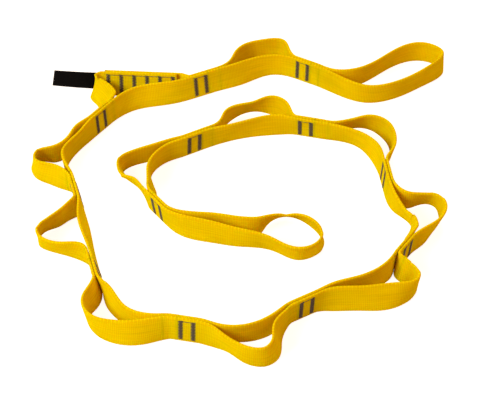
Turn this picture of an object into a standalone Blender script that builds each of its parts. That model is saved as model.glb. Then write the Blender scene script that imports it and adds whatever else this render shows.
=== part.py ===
"""Daisy chain of flat nylon webbing, standing on its edge in an open spiral.

Two lengths of 21 mm tape lie face to face. Twelve bar tacks sew them together,
so eleven pockets and an end loop at each end stay open. The inner tape (the
spine) runs nearly straight from tack to tack. The outer tape bulges out into
the pockets. Its two ends are lapped and sewn in the second pocket, and a woven
label lies on the back of the lap, under its last bar of stitches.

The chain folds beside each tack, so each tack and the pocket after it are one
link, which turns on the link before it about an upright axis. A link's tapes
end in a round nose on that axis, and the next link's tapes start square in
front of the nose. The label folds the same way where it leaves the seam.

Lengths below are in millimetres. The model is in metres, +Z up, and the tape's
lower edges rest on z = 0.
"""
import math

import bmesh
import bpy
import numpy as np
from mathutils import Matrix

MM = 0.001
GAP = 0.3  # clearance between pieces that touch on the real object

TAPE_WIDTH = 21.0
TAPE_THICKNESS = 2.0
LAYER = (TAPE_THICKNESS + GAP) / 2  # each tape's middle from the middle of the pair
PAIR_HALF = TAPE_THICKNESS + GAP / 2  # half the thickness of the sewn pair
STEP = 3.6  # longest chord along a tape

BAR_LENGTH = 17.4
BAR_WIDTH = 3.8
BAR_PROUD = 0.5
BAR_APART = 8.6  # the two bars of a tack, centre to centre
SEWN_HALF = 6.8  # the pair lies flat this far either side of a tack's middle
THREAD_CORE = 0.9  # thickness of the thread where it passes through the tapes
THREAD_RUN = 0.8  # height of the thread that runs from bar to bar
THREAD_SHORT = 5.0  # how much shorter a bar's core is than its pads
BEYOND = 1.0  # how far a tape reaches past a fold's axis before its nose is cut
CUTTER_REACH = 12.0  # how far the cutters reach, more than any tape's half width

SPLICE_BARS = 6
SPLICE_PITCH = 10.1
BAR_INSET = 4.6  # from the seam's end to the middle of its last bar
SPLICE_BAR_LENGTH = 17.4
SPLICE_LEAN = -14.0
SPLICE_START = (-47.0, 113.5)  # on the middle of the two lapped tapes
SPLICE_END = (-107.0, 117.0)
LAP_SHORT = 1.5  # the under lap's cut end stops this far before the seam's end

LABEL_LENGTH = 38.0
LABEL_WIDTH = 14.5
LABEL_THICKNESS = 0.8
LABEL_ROOT = 10.0
LABEL_DROP = -0.2  # the label sits a little low in the tape's width
ORIGIN = (3.3, 3.1)  # the point of the plan below that becomes the model's origin

# Middle of each tack: x, y, heading of the chain in degrees, and lean of the
# tape's top edge towards the inside of the spiral in degrees.
TACKS = [
    (50, 132, 152, -1),
    (-31, 115, 205, -8),
    (-107, 74, 233, -2),
    (-118, -6, 286, -8),
    (-99, -81, 286, -12),
    (-35, -129, 349, 7),
    (44, -109, 29, -3),
    (115, -59, 54, -4),
    (107, 15, 97, -3),
    (50, 67, 167, 10),
    (-35, 50, 208, 4),
    (-58, -18, 308, -7),
]

# Each tape between two tacks, as points placed from the straight line between
# the two: distance along it, distance outwards from it, lean in degrees.
SPINES = [
    [(22, 11, 0), (49, 6, -12)],
    [(25, 2, -10), (54, 9, -9)],
    [(25, 11, 5), (46, 17, -4)],
    [(27, 0, -20), (49, 0, -16)],
    [(17, 9, 5), (41, 16, 0), (62, 10, 12)],
    [(21, 9, -5), (38, 13, -5), (59, 8, 0)],
    [(23, 0, -9), (45, 6, -10), (72, 5, 0)],
    [(10, 6, -10), (16, 8, -22), (24, 10, 5), (46, 2, 4)],
    [(18, 12, -5), (41, 16, 12)],
    [(19, 6, 1), (40, 7, 5), (65, 4, 8)],
    [(16, 14, 5), (40, 20, 0), (56, 12, -15)],
]
POCKETS = [
    [(8, 15, 1), (10, 27, 0), (27, 32, 8), (41, 30, 8), (49, 23, 0), (57, 12, 2), (65, 6, -5)],
    [(73, 37, 12), (72, 28, 31), (72, 14, 33)],
    [(18, 14, 3), (31, 18, 5), (41, 27, 10), (45, 38, 20), (56, 37, 2), (61, 26, 4), (65, 14, 5)],
    [(11, 5, 0), (19, 17, 10), (26, 30, 15), (34, 33, -6), (44, 25, -20), (49, 16, -15), (57, 4, -4)],
    [(11, 17, -16), (13, 26, -10), (21, 33, -8), (41, 32, 8), (58, 20, 14), (68, 8, 8)],
    [(12, 8, 6), (22, 18, -8), (32, 30, -5), (45, 35, 0), (52, 31, 10), (57, 19, 14), (66, 8, 0)],
    [(16, 5, 8), (35, 17, 14), (53, 27, 18), (76, 27, -3), (78, 20, 6), (75, 13, -15)],
    [(13, 17, -6), (20, 25, -16), (38, 34, -1), (47, 28, 22), (48, 11, 9), (55, 4, 3)],
    [(10, 17, -12), (18, 31, -5), (31, 38, 0), (46, 35, 18), (55, 23, 25), (62, 10, 12)],
    [(9, 9, 4), (11, 20, 2), (19, 28, 2), (33, 30, 25), (48, 27, 20), (59, 20, 8), (67, 8, 5)],
    [(8, 11, 8), (21, 26, 10), (32, 38, 12), (41, 42, 0), (48, 37, -28), (54, 24, -22), (63, 14, -12)],
]
# The end loops, from the end tack outwards along the chain and to the left.
END_LOOP_A = [
    (30, -3, -1), (56, -2, -8), (75, 15, -8), (88, 39, -5), (92, 62, 5), (77, 65, 5), (58, 48, 8),
    (42, 14, 7), (23, 1, 0),
]
END_LOOP_B = [
    (24, 3, 4), (41, 15, 5), (58, 28, -5), (76, 42, -16), (95, 51, -18), (98, 68, -8),
    (93, 74, 8), (76, 76, 25), (60, 65, 42), (57, 43, 0), (35, 23, 8), (21, 6, -4),
]

YELLOW = (240, 200, 12)
THREAD = (84, 66, 64)
BLACK = (16, 14, 13)


def clear_scene():
    for obj in list(bpy.data.objects):
        bpy.data.objects.remove(obj, do_unlink=True)


def linear(rgb):
    return [c / 3294.6 if c < 10.3 else ((c / 255 + 0.055) / 1.055) ** 2.4 for c in rgb] + [1.0]


def material(name, rgb, roughness):
    made = bpy.data.materials.new(name)
    made.use_nodes = True
    shader = made.node_tree.nodes["Principled BSDF"]
    shader.inputs["Base Color"].default_value = linear(rgb)
    shader.inputs["Roughness"].default_value = roughness
    shader.inputs["Metallic"].default_value = 0.0
    made.diffuse_color = linear(rgb)
    return made


def collection(name, hidden=False):
    made = bpy.data.collections.new(name)
    bpy.context.scene.collection.children.link(made)
    made.hide_render = hidden
    return made


class Tack:
    """The flat place where a tack sews the pair of tapes, and the fold before it."""

    def __init__(self, x, y, heading, lean):
        self.middle = np.array([x, y], float) - ORIGIN
        self.heading = math.radians(heading)
        self.lean = math.radians(lean)
        self.ahead = np.array([math.cos(self.heading), math.sin(self.heading)])
        self.inwards = np.array([-self.ahead[1], self.ahead[0]])
        # The nose clears the leaning pair all the way up the upright axis.
        spread = PAIR_HALF * math.cos(self.lean) + TAPE_WIDTH / 2 * abs(math.sin(self.lean))
        self.nose = spread + 0.1
        self.fold = -(SEWN_HALF + self.nose + GAP)

    def on_layer(self, along, layer):
        """A point of one tape's middle line, with its lean: layer 1 is the spine, -1 the outer tape."""
        point = self.middle + along * self.ahead + layer * LAYER * math.cos(self.lean) * self.inwards
        return (*point, self.lean)

    def axis(self):
        return self.middle + self.fold * self.ahead

    def matrix(self, along=0.0):
        spot = self.middle + along * self.ahead
        place = Matrix.Translation((spot[0] * MM, spot[1] * MM, rise(self.lean, 0) * MM))
        return place @ Matrix.Rotation(self.heading, 4, "Z") @ Matrix.Rotation(-self.lean, 4, "X")


def rise(lean, layer):
    """Height of a tape's middle line with its lower edge, and its neighbour's, on the ground."""
    edge = math.hypot(math.sin(lean), 0.03) - 0.03
    middle = TAPE_WIDTH / 2 * math.cos(lean) + (TAPE_THICKNESS / 2 + LAYER) * edge
    return middle - layer * LAYER * math.sin(lean)


def smooth(knots, heading_in, heading_out):
    """Points at even steps on the cubic spline through the knots with the given end headings."""
    knots = np.array(knots, float)
    spans = np.linalg.norm(np.diff(knots[:, :2], axis=0), axis=1)
    at = np.concatenate([[0.0], np.cumsum(spans)])
    count = len(at)
    slopes = np.zeros((2, 3))
    slopes[0, :2] = math.cos(heading_in), math.sin(heading_in)
    slopes[1, :2] = math.cos(heading_out), math.sin(heading_out)
    rows, right = np.zeros((count, count)), np.zeros((count, 3))
    rise_rate = np.diff(knots, axis=0) / spans[:, None]
    rows[0, :2] = 2 * spans[0], spans[0]
    right[0] = 6 * (rise_rate[0] - slopes[0])
    rows[-1, -2:] = spans[-1], 2 * spans[-1]
    right[-1] = 6 * (slopes[1] - rise_rate[-1])
    for i in range(1, count - 1):
        rows[i, i - 1 : i + 2] = spans[i - 1], 2 * (spans[i - 1] + spans[i]), spans[i]
        right[i] = 6 * (rise_rate[i] - rise_rate[i - 1])
    bend = np.linalg.solve(rows, right)
    fine = np.linspace(0.0, at[-1], 1200)
    i = np.clip(np.searchsorted(at, fine) - 1, 0, count - 2)
    a, b, h = (at[i + 1] - fine)[:, None], (fine - at[i])[:, None], spans[i][:, None]
    points = (bend[i] * a**3 + bend[i + 1] * b**3) / (6 * h)
    points += (knots[i] / h - bend[i] * h / 6) * a + (knots[i + 1] / h - bend[i + 1] * h / 6) * b
    travel = np.concatenate([[0.0], np.cumsum(np.linalg.norm(np.diff(points[:, :2], axis=0), axis=1))])
    steps = math.ceil(travel[-1] / STEP)
    even = np.linspace(0.0, travel[-1], steps + 1)
    return [tuple(np.interp(t, travel, points[:, k]) for k in range(3)) for t in even]


def outward_points(first, second, offsets):
    """Places offsets from the straight line between two tacks, outwards being to its right."""
    line = second.middle - first.middle
    line /= np.linalg.norm(line)
    out = np.array([line[1], -line[0]])
    return [(*(first.middle + a * line + b * out), math.radians(c)) for a, b, c in offsets]


def end_points(tack, direction, offsets):
    left = np.array([-direction[1], direction[0]])
    return [(*(tack.middle + a * direction + b * left), math.radians(c)) for a, b, c in offsets]


def weld(mesh):
    shape = bmesh.new()
    shape.from_mesh(mesh)
    bmesh.ops.remove_doubles(shape, verts=shape.verts, dist=1e-6)
    bmesh.ops.recalc_face_normals(shape, faces=shape.faces)
    shape.to_mesh(mesh)
    shape.free()


def as_mesh(obj, group):
    """Replaces a curve object by the welded mesh of its shape."""
    seen = obj.evaluated_get(bpy.context.evaluated_depsgraph_get())
    mesh = bpy.data.meshes.new_from_object(seen)
    weld(mesh)
    solid = bpy.data.objects.new(obj.name, mesh)
    solid.matrix_world = obj.matrix_world
    group.objects.link(solid)
    name = obj.name
    bpy.data.objects.remove(obj, do_unlink=True)
    solid.name = name
    return solid


def tape(name, points, layers, width=TAPE_WIDTH, thickness=TAPE_THICKNESS):
    """A flat tape along points of x, y and lean; layers gives each point's place in the pair."""
    path = bpy.data.curves.new(name, "CURVE")
    path.dimensions = "3D"
    path.twist_mode = "Z_UP"
    path.extrude = (width - thickness) / 2 * MM
    path.bevel_depth = thickness / 2 * MM
    path.bevel_resolution = 0
    path.use_fill_caps = True
    run = path.splines.new("POLY")
    run.points.add(len(points) - 1)
    for spot, (x, y, lean), layer in zip(run.points, points, layers):
        spot.co = (x * MM, y * MM, rise(lean, layer) * MM, 1.0)
        spot.tilt = -lean
    obj = bpy.data.objects.new(name, path)
    parts.objects.link(obj)
    bpy.context.view_layer.update()
    return as_mesh(obj, parts)


def box(name, size, centre, group):
    """A closed box from the cube primitive, size and centre in millimetres."""
    mesh = bpy.data.meshes.new(name)
    shape = bmesh.new()
    bmesh.ops.create_cube(shape, size=MM)
    for corner in shape.verts:
        for k in range(3):
            corner.co[k] = corner.co[k] * size[k] + centre[k] * MM
    shape.to_mesh(mesh)
    shape.free()
    obj = bpy.data.objects.new(name, mesh)
    group.objects.link(obj)
    return obj


def hide(obj):
    obj.hide_render = True
    obj.display_type = "WIRE"


def union(name, pieces):
    """One closed mesh of the overlapping pieces, which become guides."""
    base = pieces[0]
    for piece in pieces[1:]:
        join = base.modifiers.new("join", "BOOLEAN")
        join.operation = "UNION"
        join.solver = "EXACT"
        join.object = piece
        hide(piece)
    bpy.context.view_layer.update()
    mesh = bpy.data.meshes.new_from_object(base.evaluated_get(bpy.context.evaluated_depsgraph_get()))
    mesh.name = name
    weld(mesh)
    hide(base)
    return mesh


def stitched(name, bars, length, backs):
    """Bars of thread through the tapes, with a run of thread from bar to bar on both faces.

    bars gives each bar's place along the tape, backs how far out its outer pad lies.
    """
    pieces = []
    top = length / 2 - THREAD_RUN
    level = [bar for bar, back in zip(bars, backs) if back == min(backs)]
    for face, joined in ((1, bars), (-1, level)):
        reach = max(joined) - min(joined)
        middle = (max(joined) + min(joined)) / 2
        out = face * (PAIR_HALF + GAP + 0.2)
        pieces.append(box("run", (reach, 0.3, THREAD_RUN), (middle, out, top), guides))
    for place, back in zip(bars, backs):
        front = PAIR_HALF + GAP + BAR_PROUD / 2
        behind = back + BAR_PROUD / 2
        pieces.append(box("pad", (BAR_WIDTH, BAR_PROUD, length), (place, front, 0), guides))
        pieces.append(box("pad", (BAR_WIDTH, BAR_PROUD, length), (place, -behind, 0), guides))
        core = (THREAD_CORE, front + behind, length - THREAD_SHORT)
        pieces.append(box("core", core, (place, (front - behind) / 2, 0), guides))
    return union(name, pieces)


def slots(name, bars, length):
    """Cutter with a slot for each bar's core."""
    size = (THREAD_CORE + 2 * GAP, CUTTER_REACH, length - THREAD_SHORT + 2 * GAP)
    pieces = [box("slot", size, (place, 0, 0), cutters) for place in bars]
    shape = bmesh.new()
    for piece in pieces:
        shape.from_mesh(piece.data)
        bpy.data.objects.remove(piece, do_unlink=True)
    mesh = bpy.data.meshes.new(name)
    shape.to_mesh(mesh)
    shape.free()
    return mesh


def placed(name, mesh, matrix, group):
    obj = bpy.data.objects.new(name, mesh)
    obj.matrix_world = matrix
    group.objects.link(obj)
    return obj


def nose_cutter(name, tack):
    """Takes away what lies ahead of the fold's axis and outside the nose's radius."""
    outline = bpy.data.curves.new(name, "CURVE")
    outline.dimensions = "2D"
    outline.fill_mode = "BOTH"
    outline.extrude = (CUTTER_REACH + TAPE_WIDTH / 2) * MM
    arc = [math.radians(90 - 180 * k / 16) for k in range(17)]
    corners = [(tack.nose * math.cos(a), tack.nose * math.sin(a)) for a in arc]
    far = CUTTER_REACH
    corners += [(0, -far), (far, -far), (far, far), (0, far)]
    run = outline.splines.new("POLY")
    run.points.add(len(corners) - 1)
    for spot, (x, y) in zip(run.points, corners):
        spot.co = (x * MM, y * MM, 0, 1)
    run.use_cyclic_u = True
    obj = bpy.data.objects.new(name, outline)
    cutters.objects.link(obj)
    axis = tack.axis()
    place = Matrix.Translation((axis[0] * MM, axis[1] * MM, TAPE_WIDTH / 2 * MM))
    obj.matrix_world = place @ Matrix.Rotation(tack.heading, 4, "Z")
    bpy.context.view_layer.update()
    solid = as_mesh(obj, cutters)
    hide(solid)
    return solid


def cut(obj, cutter):
    away = obj.modifiers.new("cut", "BOOLEAN")
    away.operation = "DIFFERENCE"
    away.solver = "EXACT"
    away.object = cutter


def fold_empty(name, spot):
    """The upright axis that a link turns on."""
    empty = bpy.data.objects.new(name, None)
    empty.empty_display_size = 0.01
    empty.location = (spot[0] * MM, spot[1] * MM, 0)
    parts.objects.link(empty)
    return empty


def give(obj, link, rgb, roughness):
    """Colours an object and carries it on its link's empty without moving it."""
    if not obj.data.materials:
        obj.data.materials.append(None)
    obj.material_slots[0].link = "OBJECT"
    obj.material_slots[0].material = material(obj.name, rgb, roughness)
    bpy.context.view_layer.update()
    obj.parent = link
    obj.matrix_parent_inverse = link.matrix_world.inverted()


clear_scene()
parts = collection("daisy_chain")
cutters = collection("cutters", hidden=True)
guides = collection("guides", hidden=True)

tacks = [Tack(*row) for row in TACKS]
links = [fold_empty("link_00", tacks[0].axis())]
links += [fold_empty(f"link_{k + 1:02d}", tack.axis()) for k, tack in enumerate(tacks)]
bpy.context.view_layer.update()
noses = [nose_cutter(f"nose_{k + 1:02d}", tack) for k, tack in enumerate(tacks)]

pair_bars = (-BAR_APART / 2, BAR_APART / 2)
tack_mesh = stitched("bar_tack", pair_bars, BAR_LENGTH, [PAIR_HALF + GAP] * 2)
slot_mesh = slots("tack_slots", pair_bars, BAR_LENGTH)
tack_slots = []
for k, tack in enumerate(tacks):
    cutter = placed(f"slots_{k + 1:02d}", slot_mesh, tack.matrix(), cutters)
    hide(cutter)
    tack_slots.append(cutter)
    give(placed(f"bar_tack_{k + 1:02d}", tack_mesh, tack.matrix(), parts), links[k + 1], THREAD, 0.6)

# The spines, and the outer tapes of every pocket but the second.
for k in range(11):
    here, there = tacks[k], tacks[k + 1]
    for name, layer, offsets in (("spine", 1, SPINES[k]), ("pocket", -1, POCKETS[k])):
        if name == "pocket" and k == 1:
            continue
        knots = [here.on_layer(SEWN_HALF, layer)]
        knots += outward_points(here, there, offsets)
        knots += [there.on_layer(there.fold, layer)]
        points = [here.on_layer(-SEWN_HALF, layer), here.on_layer(SEWN_HALF - 1, layer)]
        points += smooth(knots, here.heading, there.heading)
        points += [there.on_layer(there.fold + there.nose + BEYOND, layer)]
        piece = tape(f"{name}_{k + 1:02d}", points, [layer] * len(points))
        cut(piece, tack_slots[k])
        cut(piece, noses[k + 1])
        give(piece, links[k + 1], YELLOW, 0.7)

# The lapped ends of the outer tape in the second pocket.
start, end = np.array(SPLICE_START) - ORIGIN, np.array(SPLICE_END) - ORIGIN
seam = Tack(0, 0, 0, SPLICE_LEAN)
seam.middle = (start + end) / 2
seam.ahead = (end - start) / np.linalg.norm(end - start)
seam.heading = math.atan2(seam.ahead[1], seam.ahead[0])
seam.inwards = np.array([-seam.ahead[1], seam.ahead[0]])
half = np.linalg.norm(end - start) / 2
last_bar = half - BAR_INSET
seam_bars = [last_bar - SPLICE_PITCH * k for k in range(SPLICE_BARS)]
label_middle = -(PAIR_HALF + GAP + LABEL_THICKNESS / 2)
backs = [LABEL_THICKNESS / 2 - label_middle + GAP] + [PAIR_HALF + GAP] * (SPLICE_BARS - 1)
splice_mesh = stitched("splice_stitching", seam_bars, SPLICE_BAR_LENGTH, backs)
splice = placed("splice_stitching", splice_mesh, seam.matrix(), parts)
give(splice, links[2], THREAD, 0.6)
seam_slots = placed("seam_slots", slots("seam_slots", seam_bars, SPLICE_BAR_LENGTH), seam.matrix(), cutters)
hide(seam_slots)

second, third = tacks[1], tacks[2]
points = [second.on_layer(-SEWN_HALF, -1), second.on_layer(SEWN_HALF - 1, -1)]
points += smooth([second.on_layer(SEWN_HALF, -1), seam.on_layer(-half, -1)], second.heading, seam.heading)
points += [seam.on_layer(half - LAP_SHORT, -1)]
under = tape("pocket_02_under_lap", points, [-1] * len(points))
cut(under, tack_slots[1])
cut(under, seam_slots)
give(under, links[2], YELLOW, 0.7)

knots = [seam.on_layer(half, 1)]
knots += outward_points(second, third, POCKETS[1])
knots += [third.on_layer(third.fold, -1)]
turn = smooth(knots, seam.heading, third.heading)
points = [seam.on_layer(-half + 1.5, 1), seam.on_layer(half - 1, 1), *turn]
points += [third.on_layer(third.fold + third.nose + BEYOND, -1)]
blend = np.linspace(1, -1, len(turn))
over = tape("pocket_02_over_lap", points, [1, 1, *blend, -1])
cut(over, seam_slots)
cut(over, noses[2])
give(over, links[2], YELLOW, 0.7)

# The label: its root lies on the back of the lap under the last bar, and its flap folds beside it.
root_end = half + 0.6
root_size = (LABEL_ROOT, LABEL_THICKNESS, LABEL_WIDTH)
root = box("label_root", root_size, (root_end - LABEL_ROOT / 2, label_middle, LABEL_DROP), parts)
root.matrix_world = seam.matrix()
cut(root, seam_slots)
give(root, links[2], BLACK, 0.5)
fold_gap = LABEL_THICKNESS + 0.1
hinge = seam.matrix() @ Matrix.Translation(((root_end + fold_gap / 2) * MM, label_middle * MM, 0))
flap_size = (LABEL_LENGTH, LABEL_THICKNESS, LABEL_WIDTH)
flap = box("label_flap", flap_size, (fold_gap / 2 + LABEL_LENGTH / 2, 0, LABEL_DROP), parts)
flap.matrix_world = hinge
give(flap, links[2], BLACK, 0.5)

# The end loops leave the pair on one face, turn left and come back on the other.
first, final = tacks[0], tacks[-1]
out = first.on_layer(first.fold, 1)
home = first.on_layer(first.fold, -1)
knots = [(out[0], out[1], -first.lean), *end_points(first, -first.ahead, END_LOOP_A), home]
points = smooth(knots, first.heading + math.pi, first.heading)
beyond = first.fold + first.nose + BEYOND
lead = first.on_layer(beyond, 1)
points = [(lead[0], lead[1], -first.lean), *points, first.on_layer(beyond, -1)]
loop_a = tape("end_loop_a", points, [-1] * len(points))
cut(loop_a, noses[0])
give(loop_a, links[0], YELLOW, 0.7)

home = final.on_layer(SEWN_HALF, 1)
knots = [final.on_layer(SEWN_HALF, -1), *end_points(final, final.ahead, END_LOOP_B)]
knots.append((home[0], home[1], -final.lean))
points = smooth(knots, final.heading, final.heading + math.pi)
tail = final.on_layer(-SEWN_HALF, 1)
near = final.on_layer(SEWN_HALF - 1, 1)
points = [final.on_layer(-SEWN_HALF, -1), final.on_layer(SEWN_HALF - 1, -1), *points]
points += [(near[0], near[1], -final.lean), (tail[0], tail[1], -final.lean)]
loop_b = tape("end_loop_b", points, [-1] * len(points))
cut(loop_b, tack_slots[11])
give(loop_b, links[12], YELLOW, 0.7)
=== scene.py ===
# %% [markdown]
# # A daisy chain of yellow webbing, laid on its edge in a spiral
#
# The real thing is one long nylon tape, folded on itself and sewn with bar tacks into a row of pockets.
# The CAD model holds its solids, its folds and its sizes, so this script loads them first and changes none
# of them. Everything after this cell only gives the pieces their woven and stitched surfaces.

# %% The CAD frame
import math
from types import SimpleNamespace

import bpy
import numpy as np
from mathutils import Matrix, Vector


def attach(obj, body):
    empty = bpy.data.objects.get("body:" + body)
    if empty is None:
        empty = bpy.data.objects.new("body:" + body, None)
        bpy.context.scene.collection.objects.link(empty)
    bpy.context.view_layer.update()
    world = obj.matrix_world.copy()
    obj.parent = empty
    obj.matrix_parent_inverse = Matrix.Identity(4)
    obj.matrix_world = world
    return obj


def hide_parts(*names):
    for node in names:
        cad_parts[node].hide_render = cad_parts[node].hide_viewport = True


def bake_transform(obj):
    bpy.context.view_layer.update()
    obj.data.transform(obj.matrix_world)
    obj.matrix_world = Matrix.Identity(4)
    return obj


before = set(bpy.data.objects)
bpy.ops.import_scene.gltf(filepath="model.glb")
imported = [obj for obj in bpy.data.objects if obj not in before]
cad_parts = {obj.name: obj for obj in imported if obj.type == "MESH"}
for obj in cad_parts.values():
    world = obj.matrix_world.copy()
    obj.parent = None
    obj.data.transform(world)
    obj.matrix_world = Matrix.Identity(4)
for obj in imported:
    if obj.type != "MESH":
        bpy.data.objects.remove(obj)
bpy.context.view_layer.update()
MM = 0.001

# %% [markdown]
# The photograph looks down at about 46 degrees through a long lens. The camera stands on the line through
# the middle of the picture, at a distance that makes the far loops as much smaller as they are in the photo.

# %% Camera
VIEW_ELEVATION = math.radians(46.24)
VIEW_DISTANCE = 1.0835  # metres, from the spot on the floor at the picture's centre
VIEW_SPOT = (-0.0033, -0.0031, 0.0)
SENSOR = 36.0
IMAGE_WIDTH = 480
FOCAL_PIXELS = 1480.1

camera = bpy.data.objects.new("camera", bpy.data.cameras.new("camera"))
bpy.context.scene.collection.objects.link(camera)
camera.data.sensor_fit = "HORIZONTAL"
camera.data.sensor_width = SENSOR
camera.data.lens = FOCAL_PIXELS / IMAGE_WIDTH * SENSOR
camera.data.dof.use_dof = False
back, up = math.cos(VIEW_ELEVATION), math.sin(VIEW_ELEVATION)
camera.location = Vector(VIEW_SPOT) + VIEW_DISTANCE * Vector((0.0, -back, up))
camera.rotation_euler = (math.pi / 2 - VIEW_ELEVATION, 0.0, 0.0)
bpy.context.scene.camera = camera
print("camera at", tuple(round(c, 3) for c in camera.location), "lens", round(camera.data.lens, 1), "mm")

# %% [markdown]
# Colours are picked as sRGB hex values, as a paint chart gives them, and Blender's sockets want linear
# light, so one function turns one into the other. A second one adds a shader node with its settings and
# its links in a single call. That keeps every material below as short as a recipe.


# %% Colour and node helpers
def linear(hex_colour):
    """sRGB hex to linear RGBA: c becomes ((c + 0.055) / 1.055) to the power 2.4, or c / 12.92 near black."""
    srgb = np.array([int(hex_colour[i : i + 2], 16) for i in (1, 3, 5)]) / 255
    low, high = srgb / 12.92, ((srgb + 0.055) / 1.055) ** 2.4
    return (*np.where(srgb <= 0.04045, low, high).tolist(), 1.0)


def node(tree, kind, settings=None, **inputs):
    """Adds a shader node. An input is named, or is inN by number.

    It takes a value, a socket or a node, whose first output is then meant.
    """
    made = tree.nodes.new("ShaderNode" + kind)
    for key, value in (settings or {}).items():
        setattr(made, key, value)
    for key, value in inputs.items():
        numbered = key[:2] == "in" and key[2:].isdigit()
        socket = made.inputs[int(key[2:]) if numbered else key.replace("_", " ")]
        if isinstance(value, bpy.types.Node):
            value = value.outputs[0]
        if isinstance(value, bpy.types.NodeSocket):
            tree.links.new(value, socket)
        else:
            socket.default_value = value
    return made


def new_material(name):
    """A material with its Principled shader's settings left to fill in."""
    made = bpy.data.materials.new(name)
    made.use_nodes = True
    return made, made.node_tree, made.node_tree.nodes["Principled BSDF"]


# %% [markdown]
# A product table in a studio is white and lit evenly. The floor here is a pale matte sheet. To the camera it
# also glows a little, so it comes out white as in the photo and still keeps a trace of the contact shadow.
#
# Beyond the floor the world is two backgrounds. The camera's own rays, mirrored ones and those through glass
# meet white paper, and all others meet the warm room that lights the tape.

# %% Floor and world
FLOOR_HALF = 4.0
FLOOR_DEPTH = -0.0002
FLOOR_GLOW = 0.86
WHITE = (1, 1, 1, 1)


def on_view(tree):
    """The highest of three marks: a camera ray, a mirrored one and one through glass each give 1."""
    ray = node(tree, "LightPath")
    highest = {"operation": "MAXIMUM"}
    glossy, through_glass = ray.outputs["Is Glossy Ray"], ray.outputs["Is Transmission Ray"]
    onward = node(tree, "Math", highest, in0=glossy, in1=through_glass)
    return node(tree, "Math", highest, in0=ray.outputs["Is Camera Ray"], in1=onward)


floor_mesh = bpy.data.meshes.new("floor")
sides = [(-1, -1), (1, -1), (1, 1), (-1, 1)]
corners = [(FLOOR_HALF * x, FLOOR_HALF * y, FLOOR_DEPTH) for x, y in sides]
floor_mesh.from_pydata(corners, [], [(0, 1, 2, 3)])
floor = bpy.data.objects.new("floor", floor_mesh)
bpy.context.scene.collection.objects.link(floor)

floor_paint, tree, shader = new_material("pale_matte_sheet")
shader.inputs["Base Color"].default_value = linear("#D8CFC4")
shader.inputs["Roughness"].default_value = 0.9
glow = node(tree, "Math", {"operation": "MULTIPLY"}, in0=on_view(tree), in1=FLOOR_GLOW)
white = node(tree, "Emission", Color=WHITE, Strength=glow)
both = node(tree, "AddShader", in0=shader, in1=white)
tree.links.new(both.outputs[0], tree.nodes["Material Output"].inputs["Surface"])
floor_mesh.materials.append(floor_paint)

world = bpy.data.worlds.new("studio")
bpy.context.scene.world = world
world.use_nodes = True
tree = world.node_tree
room = node(tree, "Background", Color=linear("#FFB56A"), Strength=0.37)
paper = node(tree, "Background", Color=WHITE, Strength=1.0)
mix = node(tree, "MixShader", in0=on_view(tree), in1=room, in2=paper)
tree.links.new(mix.outputs[0], tree.nodes["World Output"].inputs["Surface"])
print("floor and world glow white to the camera, floor glow", FLOOR_GLOW)

# %% [markdown]
# The photograph's brightest faces look left, and those that look to the front right are darker and warmer.
# So one large soft lamp stands front left and rather high, a weak warm one on the right lifts the faces
# turned from it, and a third behind the chain lights the loops' inner faces and the tape's upper edges. The
# room's own light above is warm too, like light that has come off so much yellow.


# %% Lamps
def softbox(name, azimuth, elevation, distance, size, power, colour):
    """A square lamp on a sphere about the object, turned towards its middle; angles in degrees."""
    lamp = bpy.data.lights.new(name, "AREA")
    lamp.shape = "SQUARE"
    lamp.size = size
    lamp.energy = power
    lamp.color = linear(colour)[:3]
    made = bpy.data.objects.new(name, lamp)
    a, e = math.radians(azimuth), math.radians(elevation)
    made.location = distance * Vector((math.cos(e) * math.cos(a), math.cos(e) * math.sin(a), math.sin(e)))
    made.rotation_euler = made.location.to_track_quat("Z", "Y").to_euler()
    bpy.context.scene.collection.objects.link(made)


softbox("left_softbox", -145, 40, 1.8, 0.7, 24.0, "#FCFFF0")
softbox("front_softbox", -25, 40, 1.8, 0.7, 5.0, "#FFDDB0")
softbox("back_softbox", 82, 40, 1.8, 0.7, 11.0, "#FFFFFF")
bpy.context.scene.view_settings.view_transform = "Standard"
print("lamps:", [lamp.name for lamp in bpy.data.lights])

# %% [markdown]
# Where the tape lies is a choice of a hand, not a formula, so it is kept as short lists of points, the same
# ones that the CAD model uses. A tack is a flat sewn place with a heading. Between two tacks, points are
# given along and outwards from the straight line that joins them, and the third number is how many degrees
# the tape's top edge leans towards the inside of the spiral.

# %% The lay of the tape, in millimetres and degrees
TAPE_WIDTH = 21.0
TAPE_THICKNESS = 2.0
GAP = 0.3  # between two pieces that touch on the real object
LAYER = (TAPE_THICKNESS + GAP) / 2  # from the middle of a sewn pair to the middle of one tape
PAIR_HALF = LAYER + TAPE_THICKNESS / 2
SEWN_HALF = 6.8  # the pair lies flat this far either side of a tack's middle
ORIGIN = (3.3, 3.1)

TACKS = [
    (50, 132, 152, -1), (-31, 115, 205, -8), (-107, 74, 233, -2), (-118, -6, 286, -8),
    (-99, -81, 286, -12), (-35, -129, 349, 7), (44, -109, 29, -3), (115, -59, 54, -4),
    (107, 15, 97, -3), (50, 67, 167, 10), (-35, 50, 208, 4), (-58, -18, 308, -7),
]  # fmt: skip
SPINES = [
    [(22, 11, 0), (49, 6, -12)],
    [(25, 2, -10), (54, 9, -9)],
    [(25, 11, 5), (46, 17, -4)],
    [(27, 0, -20), (49, 0, -16)],
    [(17, 9, 5), (41, 16, 0), (62, 10, 12)],
    [(21, 9, -5), (38, 13, -5), (59, 8, 0)],
    [(23, 0, -9), (45, 6, -10), (72, 5, 0)],
    [(10, 6, -10), (16, 8, -22), (24, 10, 5), (46, 2, 4)],
    [(18, 12, -5), (41, 16, 12)],
    [(19, 6, 1), (40, 7, 5), (65, 4, 8)],
    [(16, 14, 5), (40, 20, 0), (56, 12, -15)],
]
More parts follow.
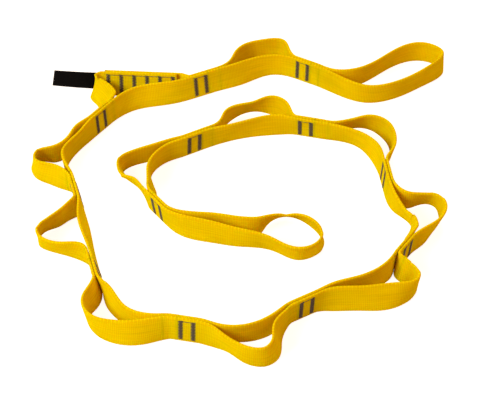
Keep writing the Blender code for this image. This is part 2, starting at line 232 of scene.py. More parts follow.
POCKETS = [
    [(8, 15, 1), (10, 27, 0), (27, 32, 8), (41, 30, 8), (49, 23, 0), (57, 12, 2), (65, 6, -5)],
    [(73, 37, 12), (72, 28, 31), (72, 14, 33)],
    [(18, 14, 3), (31, 18, 5), (41, 27, 10), (45, 38, 20), (56, 37, 2), (61, 26, 4), (65, 14, 5)],
    [(11, 5, 0), (19, 17, 10), (26, 30, 15), (34, 33, -6), (44, 25, -20), (49, 16, -15), (57, 4, -4)],
    [(11, 17, -16), (13, 26, -10), (21, 33, -8), (41, 32, 8), (58, 20, 14), (68, 8, 8)],
    [(12, 8, 6), (22, 18, -8), (32, 30, -5), (45, 35, 0), (52, 31, 10), (57, 19, 14), (66, 8, 0)],
    [(16, 5, 8), (35, 17, 14), (53, 27, 18), (76, 27, -3), (78, 20, 6), (75, 13, -15)],
    [(13, 17, -6), (20, 25, -16), (38, 34, -1), (47, 28, 22), (48, 11, 9), (55, 4, 3)],
    [(10, 17, -12), (18, 31, -5), (31, 38, 0), (46, 35, 18), (55, 23, 25), (62, 10, 12)],
    [(9, 9, 4), (11, 20, 2), (19, 28, 2), (33, 30, 25), (48, 27, 20), (59, 20, 8), (67, 8, 5)],
    [(8, 11, 8), (21, 26, 10), (32, 38, 12), (41, 42, 0), (48, 37, -28), (54, 24, -22), (63, 14, -12)],
]
END_LOOP_A = [
    (30, -3, -1), (56, -2, -8), (75, 15, -8), (88, 39, -5), (92, 62, 5), (77, 65, 5), (58, 48, 8),
    (42, 14, 7), (23, 1, 0),
]  # fmt: skip
END_LOOP_B = [
    (24, 3, 4), (41, 15, 5), (58, 28, -5), (76, 42, -16), (95, 51, -18), (98, 68, -8),
    (93, 74, 8), (76, 76, 25), (60, 65, 42), (57, 43, 0), (35, 23, 8), (21, 6, -4),
]  # fmt: skip
SPLICE_START, SPLICE_END = (-47.0, 113.5), (-107.0, 117.0)
SPLICE_LEAN = -14
LAP_SHORT = 1.5  # each cut end of the tape stops this far before the seam's end
BAR_INSET = 4.6  # from the seam's end to the middle of its last bar
SPLICE_PITCH = 10.1
SPLICE_BARS = 6
SPLICE_BAR_LENGTH = 17.4
LABEL_THICKNESS = 0.8
print("pockets:", len(POCKETS), "spine runs:", len(SPINES))

# %% [markdown]
# Each tack gets its own small set of directions: ahead along the chain, inwards across it, and a fold just
# before it, where the chain bends about an upright line. A route through the points is a cubic spline with
# given end headings, the curve that a thin springy strip takes when it is held at a few places.

# %% Tacks and routes
NOSE_CLEAR = 0.1  # how far the fold's round nose reaches past the leaning pair


def tack_at(x, y, heading, lean):
    """Directions and fold of a tack.

    The nose is the half of the pair's thickness times cos(lean) plus the half of its width times |sin(lean)|.
    The fold's axis lies that far, and the gap, before the sewn part.
    """
    h, a = math.radians(heading), math.radians(lean)
    ahead = np.array([math.cos(h), math.sin(h)])
    nose = PAIR_HALF * math.cos(a) + TAPE_WIDTH / 2 * abs(math.sin(a)) + NOSE_CLEAR
    return SimpleNamespace(
        middle=np.array([x, y]) - ORIGIN,
        heading=h,
        lean=a,
        ahead=ahead,
        inwards=np.array([-ahead[1], ahead[0]]),
        nose=nose,
        fold=-(SEWN_HALF + nose + GAP),
    )


def on_layer(tack, along, layer):
    """x, y and lean on one tape of the pair: layer 1 is the spine's, -1 the outer tape's."""
    spot = tack.middle + along * tack.ahead + layer * LAYER * math.cos(tack.lean) * tack.inwards
    return (*spot, tack.lean)


def turned(point):
    """The same place for travel the other way: its lean changes sign."""
    return (point[0], point[1], -point[2])


def offsets_from(origin, direction, side, offsets):
    """Points at a * direction + b * side from an origin, with the lean in degrees made radians."""
    table = np.array(offsets, float)
    spots = origin + table[:, :1] * direction + table[:, 1:2] * side
    return [(*spot, math.radians(lean)) for spot, lean in zip(spots, table[:, 2])]


STEP = 0.3  # millimetres between two cross-sections of the tape
FINE = 4000  # points on a spline before it is cut into even steps


def distances(line):
    """How far each point lies along its line: the running sum of the lengths of the steps."""
    return np.concatenate([[0.0], np.cumsum(np.linalg.norm(np.diff(line, axis=0), axis=1))])


def route(knots, heading_in, heading_out):
    """Clamped cubic spline through x, y, lean: solves for the bend at each knot, then steps evenly."""
    knots = np.array(knots, float)
    at = distances(knots[:, :2])
    spans = np.diff(at)
    count = len(at)
    slopes = np.zeros((2, 3))
    slopes[0, :2] = math.cos(heading_in), math.sin(heading_in)
    slopes[1, :2] = math.cos(heading_out), math.sin(heading_out)
    rate = np.diff(knots, axis=0) / spans[:, None]
    rows, right = np.zeros((count, count)), np.zeros((count, 3))
    rows[0, :2] = 2 * spans[0], spans[0]
    rows[-1, -2:] = spans[-1], 2 * spans[-1]
    right[0], right[-1] = 6 * (rate[0] - slopes[0]), 6 * (slopes[1] - rate[-1])
    for i in range(1, count - 1):
        rows[i, i - 1 : i + 2] = spans[i - 1], 2 * (spans[i - 1] + spans[i]), spans[i]
        right[i] = 6 * (rate[i] - rate[i - 1])
    bend = np.linalg.solve(rows, right)
    fine = np.linspace(0.0, at[-1], FINE)
    i = np.clip(np.searchsorted(at, fine) - 1, 0, count - 2)
    a, b, h = (at[i + 1] - fine)[:, None], (fine - at[i])[:, None], spans[i][:, None]
    points = (bend[i] * a**3 + bend[i + 1] * b**3) / (6 * h)
    points += (knots[i] / h - bend[i] * h / 6) * a + (knots[i + 1] / h - bend[i + 1] * h / 6) * b
    return even(points)


def even(points):
    """Resamples a line of x, y, lean at even steps of its own length."""
    points = np.array(points, float)
    travel = distances(points[:, :2])
    steps = max(2, round(travel[-1] / STEP))
    want = np.linspace(0.0, travel[-1], steps + 1)
    return np.stack([np.interp(want, travel, points[:, k]) for k in range(3)], axis=1)


def join(*lines):
    """One line from several that meet end to end, each shared point kept once."""
    return np.concatenate([lines[0]] + [line[1:] for line in lines[1:]])


tacks = [tack_at(*row) for row in TACKS]
print("tacks:", len(tacks))

# %% [markdown]
# The whole chain is one tape. It starts at its upper cut end in the lap, runs outside every pocket to the
# middle loop, comes back as the straight spine, goes round the other end loop and closes at the lap. So the
# routes are strung together in that order first. One strip then has even ribs from end to end, and it is
# cut into pieces only where the chain folds.

# %% One route from cut end to cut end
FLEX_LEAD = 2.0  # how far before its nose a fold starts to bend the tape


def level(path, layer):
    """Adds the layer, one number or one per point, as the fourth column of a route."""
    return np.column_stack([path, np.broadcast_to(layer, len(path))])


def between(k, layer, offsets):
    """The route on one layer from the sewn start of tack k to that of the next tack."""
    here, there = tacks[k], tacks[k + 1]
    line = there.middle - here.middle
    line /= np.linalg.norm(line)
    outwards = np.array([line[1], -line[0]])
    knots = [on_layer(here, SEWN_HALF, layer), *offsets_from(here.middle, line, outwards, offsets)]
    knots.append(on_layer(there, there.fold, layer))
    sewn = even([on_layer(here, -SEWN_HALF, layer), knots[0]])
    fold = even([knots[-1], on_layer(there, -SEWN_HALF, layer)])
    return level(join(sewn, route(knots, here.heading, there.heading), fold), layer)


def backwards(path):
    """The same route travelled the other way: order, lean and layer all change sign."""
    return path[::-1] * [1, 1, -1, -1]


def flex_count(path, tack):
    """How many points at the route's end lie past the line where the fold begins to bend it."""
    axis = tack.middle + tack.fold * tack.ahead
    past = (path[:, :2] - axis) @ tack.ahead > -(tack.nose + FLEX_LEAD)
    return int(np.argmin(past[::-1]))


seam_line = np.array(SPLICE_END) - np.array(SPLICE_START)
seam_middle = (np.array(SPLICE_START) + SPLICE_END) / 2
seam = tack_at(*seam_middle, math.degrees(math.atan2(seam_line[1], seam_line[0])), SPLICE_LEAN)
seam_half = np.linalg.norm(seam_line) / 2
last_bar = seam_half - BAR_INSET
seam_bars = [last_bar - SPLICE_PITCH * k for k in range(SPLICE_BARS)]

second, third = tacks[1], tacks[2]
line = third.middle - second.middle
line /= np.linalg.norm(line)
knots = [on_layer(seam, seam_half, 1)]
knots += offsets_from(second.middle, line, np.array([line[1], -line[0]]), POCKETS[1])
knots.append(on_layer(third, third.fold, -1))
turn = route(knots, seam.heading, third.heading)
over_lap = np.concatenate([
    level(even([on_layer(seam, -seam_half + LAP_SHORT, 1), knots[0]]), 1),
    level(turn, np.linspace(1, -1, len(turn)))[1:],
    level(even([knots[-1], on_layer(third, -SEWN_HALF, -1)]), -1)[1:],
])  # fmt: skip
knots = [on_layer(second, SEWN_HALF, -1), on_layer(seam, -seam_half, -1)]
rising = route(knots, second.heading, seam.heading)
under_lap = level(join(
    even([on_layer(second, -SEWN_HALF, -1), on_layer(second, SEWN_HALF, -1)]),
    rising,
    even([on_layer(seam, -seam_half, -1), on_layer(seam, seam_half - LAP_SHORT, -1)]),
), -1)  # fmt: skip

first, final = tacks[0], tacks[-1]
knots = [on_layer(final, SEWN_HALF, -1)]
knots += offsets_from(final.middle, final.ahead, final.inwards, END_LOOP_B)
knots.append(turned(on_layer(final, SEWN_HALF, 1)))
loop_b = level(join(
    even([on_layer(final, -SEWN_HALF, -1), knots[0]]),
    route(knots, final.heading, final.heading + math.pi),
    even([knots[-1], turned(on_layer(final, -SEWN_HALF, 1))]),
), -1)  # fmt: skip
knots = [turned(on_layer(first, first.fold, 1))]
knots += offsets_from(first.middle, -first.ahead, -first.inwards, END_LOOP_A)
knots.append(on_layer(first, first.fold, -1))
loop_a = level(join(
    even([turned(on_layer(first, -SEWN_HALF, 1)), knots[0]]),
    route(knots, first.heading + math.pi, first.heading),
    even([knots[-1], on_layer(first, -SEWN_HALF, -1)]),
), -1)  # fmt: skip

# Each run: the CAD node that it stands for, its link, the route, and the folds at its two ends.
runs = [("pocket_02_over_lap", 2, over_lap, None, 3)]
runs += [(f"pocket_{k:02d}", k, between(k - 1, -1, POCKETS[k - 1]), None, k + 1) for k in range(3, 12)]
runs += [("end_loop_b", 12, loop_b, None, None)]
for k in range(11, 0, -1):
    runs.append((f"spine_{k:02d}", k, backwards(between(k - 1, 1, SPINES[k - 1])), k + 1, None))
runs += [("end_loop_a", 0, loop_a, 1, 1)]
runs += [("pocket_01", 1, between(0, -1, POCKETS[0]), None, 2)]
runs += [("pocket_02_under_lap", 2, under_lap, None, None)]

pieces = []  # name, node or None, link or the fold's number, first and last point of the strip
strip = runs[0][2][:1]
for name, link, path, fold_before, fold_after in runs:
    start, stop = len(strip) - 1, len(strip) + len(path) - 2
    strip = np.concatenate([strip, path[1:]])
    if fold_before:
        bent = flex_count(backwards(path), tacks[fold_before - 1])
        pieces.append((f"{name}_bend_in", None, fold_before, start, start + bent))
        start += bent
    bent = flex_count(path, tacks[fold_after - 1]) if fold_after else 0
    pieces.append((f"{name}_webbing", name, link, start, stop - bent))
    if bent:
        pieces.append((f"{name}_bend_out", None, fold_after, stop - bent, stop))
print("tape pieces:", len(pieces), "cross-sections:", len(strip))

# %% [markdown]
# At each cross-section the tape needs three directions: along it, up its width, and out of its face. The
# width leans by the given angle, and the middle is lifted so that the lower edge of the pair stays on the
# ground. With these, every point of the strip is the middle plus so much width and so much thickness.

# %% Directions along the strip
CORNER = 0.03  # rounds off the corner of |sin(lean)| where the tape stands upright


def rise(lean, layer):
    """Height of a tape's middle line with the lower edge of its pair on the ground.

    It is half the width times cos(lean), plus half the pair's thickness times |sin(lean)|, less the layer's
    distance from the pair's middle times sin(lean).
    """
    edge = np.hypot(np.sin(lean), CORNER) - CORNER
    return TAPE_WIDTH / 2 * np.cos(lean) + PAIR_HALF * edge - layer * LAYER * np.sin(lean)


lean, layer = strip[:, 2], strip[:, 3]
middle = np.column_stack([strip[:, :2], rise(lean, layer)])
ahead = np.gradient(middle, axis=0)
ahead /= np.linalg.norm(ahead, axis=1)[:, None]
upright = np.array([0, 0, 1]) - ahead[:, 2:] * ahead
upright /= np.linalg.norm(upright, axis=1)[:, None]
leftwards = np.cross(upright, ahead)
widthwise = np.cos(lean)[:, None] * upright + np.sin(lean)[:, None] * leftwards
facing = np.cross(widthwise, ahead)
travel = distances(middle)
print("length of tape:", round(travel[-1]), "mm")

# %% [markdown]
# The tape's cross-section is a flat bar with round edges. Woven nylon of this kind has ribs across it, a
# little over a millimetre apart, and its two edges bulge where the weft turns back. Under each bar of
# stitches the face is pressed in. All three are small ripples added to one profile, as whole arrays.

# %% The webbing as one rippled strip
RIB = 1.25
RIB_HEIGHT = 0.035
SELVEDGE_BEAD = 0.10
STATIONS = 7  # points across each flat face, and round each edge with its two ends
PRESSED = 0.22
BAR_LENGTH = 17.4
BAR_APART = 8.6
BAR_REACH = 2.2  # how far from a bar's middle the face is pressed
BAR_PAST, BAR_FADE = 1.0, 1.5  # a dent ends this far past the bar's end, and fades out over this much
SEWN_THROUGH = 3.0  # the stitches reach the tapes that pass a sewn place this near
SINGED = 0.9  # how far the melted cut ends are browned
EDGE_START, EDGE_FADE = 0.5, 1.2  # the weft's turns begin this far from the round edge, and fade in over this

flat_half = (TAPE_WIDTH - TAPE_THICKNESS) / 2
flat = np.linspace(-flat_half, flat_half, STATIONS)
arc = np.radians(np.linspace(-90, 90, STATIONS))[1:-1]
across = np.concatenate([flat, flat_half + np.cos(arc), flat[::-1], -flat_half - np.cos(arc)])
through = np.concatenate([-np.ones(STATIONS), np.sin(arc), np.ones(STATIONS), -np.sin(arc)])
on_edge = np.abs(across) > flat_half + 0.01  # all but the two ends of each round edge


def pressed(place, bars, length):
    """Dents along the strip and across it: a raised cosine about each bar, fading at its ends."""
    off = strip[:, :2] - place.middle
    along, beside = off @ place.ahead, off @ place.inwards
    close = np.abs(beside) < SEWN_THROUGH
    dents = sum(np.cos(np.pi / 2 * np.clip((along - bar) / BAR_REACH, -1, 1)) ** 2 for bar in bars)
    fade = np.clip((length / 2 + BAR_PAST - np.abs(across)) / BAR_FADE, 0, 1)
    return (PRESSED * dents * close)[:, None] * fade


outline = np.column_stack([across, through])
around = distances(np.vstack([outline, outline[:1]]))
pair_bars = (-BAR_APART / 2, BAR_APART / 2)
dent = sum(pressed(tack, pair_bars, BAR_LENGTH) for tack in tacks)
dent += pressed(seam, seam_bars, SPLICE_BAR_LENGTH)
outside = np.sign(layer)[:, None] * np.sign(through) > 0  # the face that shows, not the one inside the pair
rib = 0.5 + 0.5 * np.cos(2 * np.pi * travel / RIB)
bead = 0.5 + 0.5 * np.cos(np.pi * travel / RIB)
ribbed = np.abs(through) * (TAPE_THICKNESS / 2 - RIB_HEIGHT * (1 - rib[:, None]))
thick = np.sign(through) * (ribbed - dent * outside)
wide = across + np.sign(across) * on_edge * SELVEDGE_BEAD * (bead[:, None] - 1)
surface = middle[:, None] + wide[:, :, None] * widthwise[:, None] + thick[:, :, None] * facing[:, None]
surface[:, :, 2] = np.maximum(surface[:, :, 2], 0.0)
sealed = np.exp(-travel / SINGED) + np.exp(-(travel[-1] - travel) / SINGED)
selvedge = np.clip((np.abs(across) - flat_half + EDGE_START) / EDGE_FADE, 0, 1)
print("strip:", surface.shape[0] * surface.shape[1], "points")

# %% [markdown]
# Tape, thread and label are all the same kind of surface: a ring of points carried along a line, closed by a
# cap at each end. One function turns such grids into a mesh, with a UV map in real metres, so a pattern on
# it follows the piece and keeps its true scale.


# %% From grids to meshes
def tubes(name, grids, rounds, finish, **marks):
    """One mesh of closed tubes: quads join each ring to the next, and a cap closes each end.

    grids are pairs: an array of (rings, ring points, 3) in mm, and the rings' distances along the line.
    rounds are the distances round a ring, and marks are numbers for every point, which a material can read.
    """
    points, faces, uvs, sharp, first = [], [], [], [], 0
    for grid, lengths in grids:
        rings, ring = grid.shape[:2]
        rows, columns = np.meshgrid(np.arange(rings - 1), np.arange(ring), indexing="ij")
        here, beside = rows * ring + columns, rows * ring + (columns + 1) % ring
        quads = np.stack([here, here + ring, beside + ring, beside], axis=2).reshape(-1, 4) + first
        u, v = lengths[rows], rounds[columns]
        u_next, v_next = lengths[rows + 1], rounds[columns + 1]
        corner = [np.stack(pair, 2) for pair in ((u, v), (u_next, v), (u_next, v_next), (u, v_next))]
        uvs.append(np.stack(corner, 2).reshape(-1, 2))
        faces += quads.tolist()
        caps = np.arange(ring), np.arange(ring)[::-1] + (rings - 1) * ring
        for cap, along in zip(caps, (lengths[0], lengths[-1])):
            faces.append((cap + first).tolist())
            uvs.append(np.column_stack([np.full(ring, along), rounds[cap % ring]]))
        points.append(grid.reshape(-1, 3))
        sharp += [(first, ring), (first + (rings - 1) * ring, ring)]
        first += rings * ring
    mesh = bpy.data.meshes.new(name)
    mesh.from_pydata((np.concatenate(points) * MM).tolist(), [], faces)
    mesh.polygons.foreach_set("use_smooth", np.ones(len(faces), bool))
    mesh.uv_layers.new(name="thread").data.foreach_set("uv", (np.concatenate(uvs) * MM).ravel())
    ends = np.zeros(len(mesh.edges) * 2, int)
    mesh.edges.foreach_get("vertices", ends)
    owner = np.full(first, -1)
    for number, (start, count) in enumerate(sharp):
        owner[start : start + count] = number
    pairs = owner[ends.reshape(-1, 2)]
    mesh.attributes.new("sharp_edge", "BOOLEAN", "EDGE").data.foreach_set(
        "value", (pairs[:, 0] == pairs[:, 1]) & (pairs[:, 0] >= 0)
    )
    for mark, values in marks.items():
        one_each = values.ravel().astype(np.float32)
        mesh.attributes.new(mark, "FLOAT", "POINT").data.foreach_set("value", one_each)
    mesh.materials.append(finish)
    made = bpy.data.objects.new(name, mesh)
    bpy.context.scene.collection.objects.link(made)
    return made


# %% [markdown]
# The webbing is dyed nylon 66, woven with fat weft picks, so low ribs run straight across it. The yarn is
# dyed through and lets light into it: Subsurface carries red furthest through the two millimetres of tape,
# so the faces turned from the lamp glow orange, as the real tape's do. Plain gloss is left out, as it would
# lay the white room over the yellow. The pattern reads the piece's UV map, which is in real metres: a crown
# at each rib, and on it the warp yarns, of which every other one lies a little lower. The colour is painted
# light on these crowns and painted shade, darker and deeper yellow, in the hollows between them. A stretched
# noise gives each yarn its own tone, and at the two edges the weft's turns are painted as beads, with painted
# light on each bead and painted shade between two beads.

# %% Woven nylon
WARP = 0.9  # between two warp yarns; the real ones are half as wide, drawn coarse so that they show
YARN_BASE, YARN_ROUND, YARN_OVER = 0.65, 0.25, 0.04  # shares of the height: flat, round, over and under
YARN_NOISE = (0.03, 1.1, 1.0)  # long along the yarns, and about one yarn wide across them
# How much of the painted light and shade of the edge beads shows.
BEAD_SHADE_SHARE = 0.3

webbing, tree, shader = new_material("woven_nylon_66")
spot = node(tree, "UVMap", {"uv_map": "thread"})
real = node(tree, "VectorMath", {"operation": "SCALE"}, in0=spot, Scale=1000.0)
along_across = node(tree, "SeparateXYZ", in0=real)
rib_turn = node(tree, "Math", {"operation": "MULTIPLY"}, in0=along_across.outputs["X"], in1=math.pi / RIB)
rib_wave = node(tree, "Math", {"operation": "COSINE"}, in0=rib_turn)
rib_crown = node(tree, "Math", {"operation": "ABSOLUTE"}, in0=rib_wave)
yarns = node(tree, "Math", {"operation": "DIVIDE"}, in0=along_across.outputs["Y"], in1=WARP)
yarn_turn = node(tree, "Math", {"operation": "MULTIPLY"}, in0=yarns, in1=math.pi)
yarn_wave = node(tree, "Math", {"operation": "SINE"}, in0=yarn_turn)
over_under = node(tree, "Math", {"operation": "MULTIPLY"}, in0=rib_wave, in1=yarn_wave)
yarn_side = node(tree, "Math", {"operation": "ABSOLUTE"}, in0=yarn_wave)
yarn_round = node(tree, "Math", {"operation": "MULTIPLY_ADD"}, in0=yarn_side, in1=YARN_ROUND, in2=YARN_BASE)
yarn_height = node(tree, "Math", {"operation": "MULTIPLY_ADD"}, in0=over_under, in1=YARN_OVER, in2=yarn_round)
weave = node(tree, "Math", {"operation": "MULTIPLY"}, in0=rib_crown, in1=yarn_height)
# Painted light and shade over the tape's own yellow: the ramp makes the crowns of ribs and yarns lighter and
# the hollows between them darker and deeper yellow.
dye_and_weave_shade = node(tree, "ValToRGB", Fac=weave)
bands = [(0.0, "#E3C000"), (0.4, "#EACD00"), (0.8, "#EED602"), (1.0, "#F2DE0C")]
while len(dye_and_weave_shade.color_ramp.elements) < len(bands):
    dye_and_weave_shade.color_ramp.elements.new(0.5)
for element, (place, colour) in zip(dye_and_weave_shade.color_ramp.elements, bands):
    element.position, element.color = place, linear(colour)
stretched = node(tree, "Mapping", Vector=real, Scale=YARN_NOISE)
yarn_tone = node(tree, "TexNoise", {"noise_dimensions": "2D"}, Vector=stretched, Scale=1.0, Detail=2.0)
patches = node(tree, "TexNoise", {"noise_dimensions": "2D"}, Vector=real, Scale=0.035, Detail=3.0)
both_tones = node(tree, "Math", {"operation": "ADD"}, in0=yarn_tone, in1=patches)
tone = node(tree, "MapRange", Value=both_tones, From_Min=0.7, From_Max=1.3, To_Min=0.90, To_Max=1.08)
toned = node(tree, "Mix", {"data_type": "RGBA", "blend_type": "MULTIPLY"}, in0=1.0, in6=dye_and_weave_shade, in7=tone)
selvedge_mark = node(tree, "Attribute", {"attribute_name": "selvedge"})
# Painted light and shade on the beads at the two edges: each weft turn is lighter on its crown and darker
# between two turns.
weft_turn = node(tree, "MapRange", Value=rib_wave, From_Min=-0.6, From_Max=0.6)
bead_light_and_shade = node(tree, "Mix", {"data_type": "RGBA"}, in0=weft_turn, in6=linear("#D4A400"), in7=linear("#F6DC10"))
edge_mark = selvedge_mark.outputs["Fac"]
bead_shade_share = node(tree, "Math", {"operation": "MULTIPLY"}, in0=edge_mark, in1=BEAD_SHADE_SHARE)
toned_with_bead_shade = node(tree, "Mix", {"data_type": "RGBA"}, in0=bead_shade_share, in6=toned.outputs[2], in7=bead_light_and_shade.outputs[2])
melted = node(tree, "Attribute", {"attribute_name": "sealed"})
brown = linear("#8F4E00")
singed = node(tree, "Mix", {"data_type": "RGBA"}, in0=melted.outputs["Fac"], in6=toned_with_bead_shade.outputs[2], in7=brown)
relief = node(tree, "Bump", Strength=0.25, Distance=0.00012, Height=weave)
tree.links.new(singed.outputs[2], shader.inputs["Base Color"])
tree.links.new(relief.outputs[0], shader.inputs["Normal"])
shader.inputs["Roughness"].default_value = 0.42
shader.inputs["IOR"].default_value = 1.53
shader.inputs["Specular IOR Level"].default_value = 0.0
shader.inputs["Subsurface Weight"].default_value = 0.6
shader.inputs["Subsurface Radius"].default_value = (1.0, 0.5, 0.05)
shader.inputs["Subsurface Scale"].default_value = 0.004

# %% [markdown]
# The stitches are a tight polyester thread of three plies, grey-brown. A slanting stripe on the thread's own
# UV map gives the twist, and in the colour it paints light on the crowns of the plies and shade in the
# grooves between them.

# %% Twisted polyester thread
PLY = 0.5  # distance between two plies along the thread
PLY_SLANT = math.radians(35)
PER_MM = (1000.0, 1000.0, 1.0)  # turns the metres of a UV map into millimetres

stitching, tree, shader = new_material("twisted_polyester_thread")
spot = node(tree, "UVMap", {"uv_map": "thread"})
turned_round = node(tree, "Mapping", Vector=spot, Rotation=(0.0, 0.0, PLY_SLANT), Scale=PER_MM)
along_across = node(tree, "SeparateXYZ", in0=turned_round)
ply_turn = node(tree, "Math", {"operation": "MULTIPLY"}, in0=along_across.outputs["X"], in1=math.pi / PLY)
ply_wave = node(tree, "Math", {"operation": "SINE"}, in0=ply_turn)
ply = node(tree, "Math", {"operation": "ABSOLUTE"}, in0=ply_wave)
# Painted light on the crowns of the plies and painted shade in the grooves between them.
ply_light_and_shade = node(tree, "ValToRGB", Fac=ply)
for element, (place, colour) in zip(ply_light_and_shade.color_ramp.elements, [(0.0, "#17120C"), (1.0, "#6E6254")]):
    element.position, element.color = place, linear(colour)
relief = node(tree, "Bump", Strength=0.6, Distance=0.0001, Height=ply)
tree.links.new(ply_light_and_shade.outputs["Color"], shader.inputs["Base Color"])
tree.links.new(relief.outputs[0], shader.inputs["Normal"])
shader.inputs["Roughness"].default_value = 0.45
shader.inputs["Specular IOR Level"].default_value = 0.15

# %% [markdown]
# The label is a bare woven ribbon of black polyester. Its face has the fine slanting floats of a satin, and
# their crowns get a faint painted sheen, a little lighter than the black between them. A coarse noise along
# the floats' own direction varies that sheen in streaks, and the dull face keeps the white room from turning
# the black grey.

# %% Black satin ribbon
FLOAT = 0.45  # between two rows of floats; the real ones are finer, drawn coarse so that they show
FLOAT_SLANT = math.radians(63)

ribbon, tree, shader = new_material("woven_black_satin")
spot = node(tree, "UVMap", {"uv_map": "thread"})
slanted = node(tree, "Mapping", Vector=spot, Rotation=(0.0, 0.0, FLOAT_SLANT), Scale=PER_MM)
along_across = node(tree, "SeparateXYZ", in0=slanted)
float_turn = node(tree, "Math", {"operation": "MULTIPLY"}, in0=along_across.outputs["X"], in1=math.pi / FLOAT)
float_wave = node(tree, "Math", {"operation": "SINE"}, in0=float_turn)
floats = node(tree, "Math", {"operation": "ABSOLUTE"}, in0=float_wave)
streaks = node(tree, "TexNoise", {"noise_dimensions": "2D"}, Vector=slanted, Scale=0.6, Detail=2.0)
float_sheen = node(tree, "Math", {"operation": "MULTIPLY"}, in0=floats, in1=streaks)
# Painted sheen: the crowns of the floats come out a little lighter than the black between them, in streaks.
black = node(tree, "ValToRGB", Fac=float_sheen)
for element, (place, colour) in zip(black.color_ramp.elements, [(0.0, "#020101"), (1.0, "#080504")]):
    element.position, element.color = place, linear(colour)
relief = node(tree, "Bump", Strength=0.4, Distance=0.00008, Height=floats)
tree.links.new(black.outputs["Color"], shader.inputs["Base Color"])
tree.links.new(relief.outputs[0], shader.inputs["Normal"])
shader.inputs["Roughness"].default_value = 0.6
shader.inputs["Specular IOR Level"].default_value = 0.04
print("materials:", [m.name for m in (webbing, stitching, ribbon)])

# %% [markdown]
# Now the strip is cut into its pieces. A piece between two folds rides on its link. The short stretch at a
# fold stays fixed where it is built, and it shares its last cross-section with the piece next to it, so no
# seam shows.

# %% Webbing pieces
for name, stands_for, number, start, stop in pieces:
    part = slice(start, stop + 1)
    rings = surface[part]
    marks = {"sealed": np.repeat(sealed[part], len(across)), "selvedge": np.tile(selvedge, len(rings))}
    piece = tubes(name, [(rings, travel[part])], around, webbing, **marks)
    if stands_for:
        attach(piece, f"link_{number:02d}")
        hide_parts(stands_for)
    else:
        tack = tacks[number - 1]
        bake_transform(piece)

# %% [markdown]
# A bar tack is a dense zigzag of thread over a narrow bar. The line swings from side to side as it climbs,
# rises over the tape in the middle of each stitch and dips into it at both ends. A thinner row of straight
# stitches carries the thread from one bar to the next near the tape's upper edge.

# %% Bar tacks and the seam's stitching
STITCH_WIDTH = 4.4
STITCH_CLIMB = 0.72  # from one stitch of the zigzag to the next
STITCH_DIP, STITCH_ARCH = 0.22, 0.45  # its ends lie this deep in the tape, and its middle this much higher
UNDERLAY_OFFSETS = (-0.6, 0.0, 0.6)  # straight threads under the zigzag, from the bar's middle
UNDERLAY_SHORT = 0.6  # how far they end before the bar's own end
UNDERLAY_LIES, UNDERLAY_DIP = 0.12, 0.3  # how deep they lie, and how much deeper their ends
RUN_STITCH = 3.0
RUN_DIP, RUN_ARCH = 0.2, 0.3
RUN_DROP = 0.8  # how far below the bars' upper ends the thread runs from bar to bar
THREAD_RADIUS = 0.30
RUN_RADIUS = 0.20
THREAD_SIDES = 7
LABEL_PRESSED = 0.1  # how deep the last bar of the seam lies in the label
thread_ring = np.radians(np.arange(THREAD_SIDES) * 360 / THREAD_SIDES)
thread_round = np.append(thread_ring, 2 * math.pi) * THREAD_RADIUS


def thread(line, out, radius):
    """A round tube about a line: each ring is cos * lift + sin * side, both square to the line.

    lift is the direction out with its part along the line taken off, and side is square to it.
    """
    ahead = np.gradient(line, axis=0)
    ahead /= np.linalg.norm(ahead, axis=1)[:, None]
    lift = out - (ahead @ out)[:, None] * ahead
    lift /= np.linalg.norm(lift, axis=1)[:, None]
    side = np.cross(ahead, lift)
    ring = np.cos(thread_ring)[:, None] * lift[:, None] + np.sin(thread_ring)[:, None] * side[:, None]
    return line[:, None] + radius * ring, distances(line)


def zigzag(place, face, surface_at, length):
    """Local line of a bar: x is a triangle wave, z climbs evenly, y is a flat-topped arch over the tape."""
    count = round(length / STITCH_CLIMB)
    t = np.linspace(0, count, count * 6 + 1)
    swing = np.arcsin(np.cos(np.pi * t)) * 2 / np.pi
    x = place + (STITCH_WIDTH / 2 - THREAD_RADIUS) * swing
    y = face * (surface_at - STITCH_DIP + STITCH_ARCH * (1 - np.abs(swing) ** 6))
    z = -length / 2 + THREAD_RADIUS + (length - 2 * THREAD_RADIUS) * t / count
    return np.column_stack([x, y, z])


def underlay(x, face, surface_at, length):
    """Local line of a straight thread that fills the bar under the zigzag: y falls by t to the 8th power."""
    t = np.linspace(-1, 1, 13)
    y = face * (surface_at - UNDERLAY_LIES - UNDERLAY_DIP * t**8)
    return np.column_stack([np.full_like(t, x), y, t * (length / 2 - UNDERLAY_SHORT)])


def running(begin, end, face, surface_at, z):
    """Local line of straight stitches: y is the root of |sin|, so it dips into the tape between them."""
    count = max(1, round(abs(end - begin) / RUN_STITCH))
    t = np.linspace(0, count, count * 10 + 1)
    x = begin + (end - begin) * t / count
    y = face * (surface_at - RUN_DIP + RUN_ARCH * np.abs(np.sin(np.pi * t)) ** 0.5)
    return np.column_stack([x, y, np.full_like(x, z)])


def sewn_axes(place):
    """Origin and the three directions of a sewn place: ahead, out of the inner face, and up the width."""
    spot = np.array([*place.middle, rise(place.lean, 0)])
    ahead, inwards = np.array([*place.ahead, 0.0]), np.array([*place.inwards, 0.0])
    up = np.array([0.0, 0.0, 1.0])
    c, s = math.cos(place.lean), math.sin(place.lean)
    return spot, np.array([ahead, c * inwards - s * up, s * inwards + c * up])


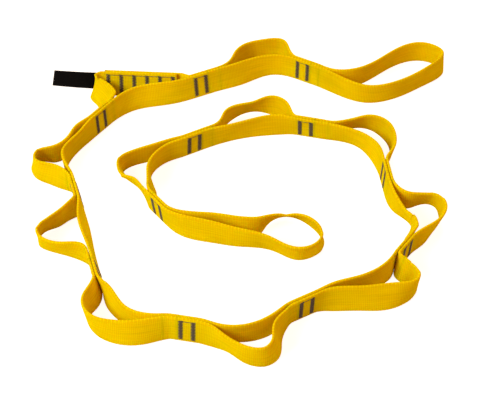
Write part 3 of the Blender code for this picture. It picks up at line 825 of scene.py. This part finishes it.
def stitched(name, place, bars, length, first_back=PAIR_HALF - PRESSED):
    """Bars on both faces of a sewn place with a row of stitches from bar to bar near the upper edge.

    first_back is where the back of the first bar lies, which is further out where it also holds the label.
    The seam's bars are listed from its far end, and on the back the row of stitches stops before the first.
    """
    origin, axes = sewn_axes(place)
    top = length / 2 - RUN_DROP
    lines = []
    for face in (1, -1):
        for bar in bars:
            face_at = first_back if face < 0 and bar == bars[0] else PAIR_HALF - PRESSED
            lines.append((zigzag(bar, face, face_at, length), face, THREAD_RADIUS))
            for offset in UNDERLAY_OFFSETS:
                lines.append((underlay(bar + offset, face, face_at, length), face, THREAD_RADIUS))
        far_bar = max(bars if face > 0 else bars[1:])
        lines.append((running(min(bars), far_bar, face, PAIR_HALF, top), face, RUN_RADIUS))
    grids = [thread(origin + line @ axes, face * axes[1], radius) for line, face, radius in lines]
    return tubes(name, grids, thread_round, stitching)


for number, tack in enumerate(tacks, 1):
    piece = stitched(f"bar_tack_{number:02d}_thread", tack, pair_bars, BAR_LENGTH)
    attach(piece, f"link_{number:02d}")
    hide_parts(f"bar_tack_{number:02d}")
label_back = PAIR_HALF + GAP + LABEL_THICKNESS
piece = stitched("splice_thread", seam, seam_bars, SPLICE_BAR_LENGTH, label_back - LABEL_PRESSED)
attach(piece, "link_02")
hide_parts("splice_stitching")
print("sewn places:", len(tacks) + 1)

# %% [markdown]
# The label is caught under the last bar of the lap and sticks out beyond it. Its free part rises a little,
# bows and twists towards its end, and the end is cut slightly aslant, as in the photograph. So the ribbon's
# flat section is carried along the seam's line, and each of these small changes grows along the free part.

# %% Label
LABEL_LENGTH = 38.0
LABEL_WIDTH = 14.5
LABEL_ROOT = 10.0
LABEL_OUT = 0.6  # how far the sewn root reaches past the seam's end
LABEL_DROP = -0.2
LABEL_FOLD = 0.9  # free length between the sewn root and the flap
LABEL_BEND = 2.0  # the ribbon bends this far either side of the fold
LABEL_TWIST = math.radians(-6.0)
LABEL_CURL = 0.5
LABEL_CLIMB = math.tan(math.radians(1.5))
LABEL_SLANT = math.tan(math.radians(10.0))
RIBBON_EDGE = 0.3  # the ribbon's edges thin out over this much of its width
RIBBON_STATIONS = 9
RIBBON_STEP = 0.5

half_width, half_thick = LABEL_WIDTH / 2, LABEL_THICKNESS / 2
flat = np.linspace(-half_width + RIBBON_EDGE, half_width - RIBBON_EDGE, RIBBON_STATIONS)
face_b = np.full(RIBBON_STATIONS, half_thick)
label_a = np.concatenate([flat, [half_width], flat[::-1], [-half_width]])
label_b = np.concatenate([-face_b, [0.0], face_b, [0.0]])
outline = np.column_stack([label_a, label_b])
label_round = distances(np.vstack([outline, outline[:1]]))
origin, axes = sewn_axes(seam)
root_end = seam_half + LABEL_OUT
fold_at = root_end + LABEL_FOLD / 2
far_end = fold_at + LABEL_FOLD / 2 + LABEL_LENGTH
cuts = [fold_at - LABEL_BEND, fold_at + LABEL_BEND, far_end]
label_x = np.unique(np.concatenate([np.arange(root_end - LABEL_ROOT, far_end, RIBBON_STEP), cuts]))
free = np.clip((label_x - fold_at) / LABEL_LENGTH, 0, 1)
twist = (LABEL_TWIST * free)[:, None]
curl = (LABEL_CURL * np.sin(np.pi * free))[:, None]
climb = (LABEL_CLIMB * np.maximum(label_x - fold_at, 0.0))[:, None]
x = label_x[:, None] - LABEL_SLANT * free[:, None] * label_a
y = half_thick - label_back + curl + label_b * np.cos(twist) - label_a * np.sin(twist)
z = LABEL_DROP + climb + label_a * np.cos(twist) + label_b * np.sin(twist)
label_grid = origin + np.stack([x, y, z], axis=2) @ axes


def label_piece(name, begin, end):
    """One stretch of the ribbon, from the ring nearest to begin to the one nearest to end."""
    part = slice(int(np.argmin(np.abs(label_x - begin))), int(np.argmin(np.abs(label_x - end))) + 1)
    return tubes(name, [(label_grid[part], label_x[part])], label_round, ribbon)


sewn_end = label_piece("label_sewn_end", label_x[0], fold_at - LABEL_BEND)
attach(sewn_end, "link_02")
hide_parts("label_root")
bend = label_piece("label_bend", fold_at - LABEL_BEND, fold_at + LABEL_BEND)
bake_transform(bend)
flap = label_piece("label_ribbon", fold_at + LABEL_BEND, far_end)
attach(flap, "label")
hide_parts("label_flap")
print("label:", round(far_end - label_x[0], 1), "mm of ribbon")
